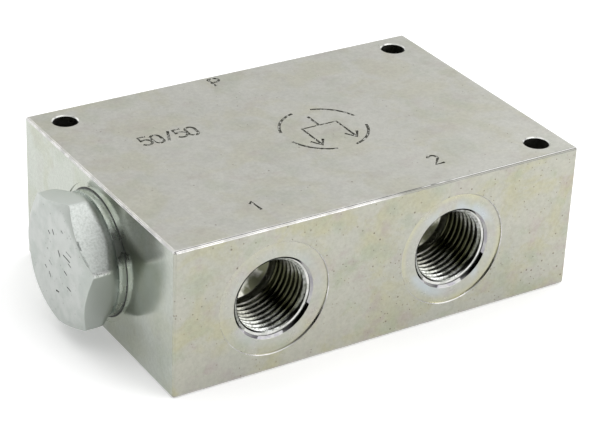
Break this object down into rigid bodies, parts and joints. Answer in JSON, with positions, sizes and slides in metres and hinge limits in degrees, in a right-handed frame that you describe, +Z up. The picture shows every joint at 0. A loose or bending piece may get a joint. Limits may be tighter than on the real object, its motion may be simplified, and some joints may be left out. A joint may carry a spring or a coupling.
{
  "type": "hydraulic flow divider valve",
  "caption": "Steel block valve that shares a supply flow between outlet ports, with linked spools, centring springs, a hexagon plug and bolt holes.",
  "frame": {"origin": "centre of the block's flat bottom face", "axes": "+X along the spool bore, away from the hexagon plug; -Y out of the outlet ports; +Z up from the base"},
  "size_m": [0.1283, 0.08, 0.04],
  "materials": {
    "block_plating": "zinc plated, milled, satin",
    "plug_plating": "zinc plated, forged and turned",
    "ring_metal": "soft steel ring, turned",
    "spool_steel": "hardened, ground and polished",
    "pin_steel": "turned",
    "spring_steel": "oiled spring wire",
    "clip_steel": "phosphated spring steel"
  },
  "bodies": {
    "housing": {"valve_body": "block_plating", "end_plug": "plug_plating", "sealing_ring": "ring_metal", "shim_left": "pin_steel", "shim_right": "pin_steel", "outer_spring_left": "spring_steel", "outer_spring_right": "spring_steel"},
    "left_spool": {"spool_left": "spool_steel", "orifice_disc_left": "spool_steel", "orifice_clip_left": "clip_steel", "spring_seat_left": "pin_steel", "centre_washer_left": "pin_steel"},
    "link": {"coupling_link": "pin_steel", "centre_spring": "spring_steel"},
    "right_spool": {"spool_right": "spool_steel", "orifice_disc_right": "spool_steel", "orifice_clip_right": "clip_steel", "spring_seat_right": "pin_steel", "centre_washer_right": "pin_steel"}
  },
  "joints": [
    {"name": "left_spool_slide", "type": "slide", "parent": "housing", "child": "left_spool", "axis": [1, 0, 0], "range_m": [-0.004, 0.004], "stiffness_N_per_m": 4000, "deforming": ["outer_spring_left", "outer_spring_right"]},
    {"name": "link_slide", "type": "slide", "parent": "left_spool", "child": "link", "axis": [1, 0, 0], "range_m": [-0.00075, 0], "stiffness_N_per_m": 1000, "springref_m": 0.003},
    {"name": "right_spool_slide", "type": "slide", "parent": "link", "child": "right_spool", "axis": [1, 0, 0], "range_m": [-0.00075, 0], "stiffness_N_per_m": 1000, "springref_m": 0.003, "deforming": ["centre_spring"]}
  ]
}
